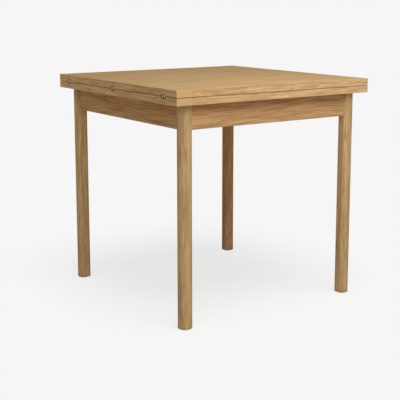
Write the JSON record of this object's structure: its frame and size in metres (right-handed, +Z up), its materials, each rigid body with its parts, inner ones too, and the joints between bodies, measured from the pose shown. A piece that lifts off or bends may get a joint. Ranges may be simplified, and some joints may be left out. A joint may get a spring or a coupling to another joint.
{
  "type": "swivel extending table",
  "caption": "Square oak dining table on round legs; its folded top swivels a quarter turn, then the upper leaf folds over on concealed link hinges to double the length.",
  "frame": {"origin": "on the floor, under the middle of the folded top", "axes": "+X from the hinge side (left) to the free side (right), +Y from the front to the rear, +Z up"},
  "size_m": [0.78, 0.78, 0.76],
  "materials": {
    "oak_leg": "straight grained light oak, satin lacquer",
    "oak_apron": "light oak, grain along the board, satin lacquer",
    "oak_veneered_panel": "light oak veneer with oak edges, satin lacquer",
    "oak_hinge_rail": "solid light oak, satin lacquer",
    "beech_rail": "planed beech, unfinished",
    "beech_block": "sawn beech, unfinished",
    "grey_felt": "pressed wool felt",
    "glide_plastic": "moulded brown polyethylene",
    "clear_rubber": "clear soft rubber",
    "nylon": "natural nylon",
    "bronze": "sintered bronze",
    "hinge_cup_metal": "nickel plated die casting",
    "hinge_link_steel": "blackened steel",
    "zinc_steel": "bright zinc plated steel"
  },
  "bodies": {
    "stand": {"apron_felt_strips": "grey_felt", "apron_front": "oak_apron", "apron_left": "oak_apron", "apron_rear": "oak_apron", "apron_right": "oak_apron", "corner_block_front_left": "beech_block", "corner_block_front_right": "beech_block", "corner_block_rear_left": "beech_block", "corner_block_rear_right": "beech_block", "foot_glides": "glide_plastic", "hanger_bolts": "zinc_steel", "hanger_nuts": "zinc_steel", "leg_felt_pads": "grey_felt", "leg_front_left": "oak_leg", "leg_front_right": "oak_leg", "leg_rear_left": "oak_leg", "leg_rear_right": "oak_leg", "pivot_bush": "bronze", "pivot_rail": "beech_rail", "rail_felt_strips": "grey_felt", "support_rail": "beech_rail", "swivel_base_plate": "zinc_steel", "swivel_slide_disc": "nylon"},
    "swivel_top": {"leaf_rest_dots": "clear_rubber", "lower_hinge_cup_front": "hinge_cup_metal", "lower_hinge_cup_middle": "hinge_cup_metal", "lower_hinge_cup_rear": "hinge_cup_metal", "lower_hinge_pin_front": "hinge_link_steel", "lower_hinge_pin_middle": "hinge_link_steel", "lower_hinge_pin_rear": "hinge_link_steel", "lower_leaf_hinge_rail": "oak_hinge_rail", "lower_leaf_panel": "oak_veneered_panel", "pivot_locknut": "zinc_steel", "pivot_stud": "zinc_steel", "pivot_washer": "zinc_steel", "stop_pin": "zinc_steel", "swivel_top_plate": "zinc_steel"},
    "folding_leaf": {"upper_hinge_cup_front": "hinge_cup_metal", "upper_hinge_cup_middle": "hinge_cup_metal", "upper_hinge_cup_rear": "hinge_cup_metal", "upper_hinge_pin_front": "hinge_link_steel", "upper_hinge_pin_middle": "hinge_link_steel", "upper_hinge_pin_rear": "hinge_link_steel", "upper_leaf_hinge_rail": "oak_hinge_rail", "upper_leaf_panel": "oak_veneered_panel"},
    "hinge_links": {"hinge_links_front": "hinge_link_steel", "hinge_links_middle": "hinge_link_steel", "hinge_links_rear": "hinge_link_steel"}
  },
  "joints": [
    {"name": "top_swivel", "type": "hinge", "parent": "stand", "child": "swivel_top", "pos_m": [-0.195, 0.195, 0.7128], "axis": [0, 0, 1], "range_deg": [0, 90]},
    {"name": "leaf_fold", "type": "hinge", "parent": "swivel_top", "child": "folding_leaf", "pos_m": [-0.39025, 0, 0.7364], "axis": [0, -1, 0], "range_deg": [0, 180]},
    {"name": "link_turn", "type": "hinge", "parent": "swivel_top", "child": "hinge_links", "pos_m": [-0.38775, 0, 0.7339], "axis": [0, -1, 0], "range_deg": [0, 90]}
  ],
  "couplings": [
    {"joint": "link_turn", "follows": "leaf_fold", "ratio": 0.5}
  ]
}
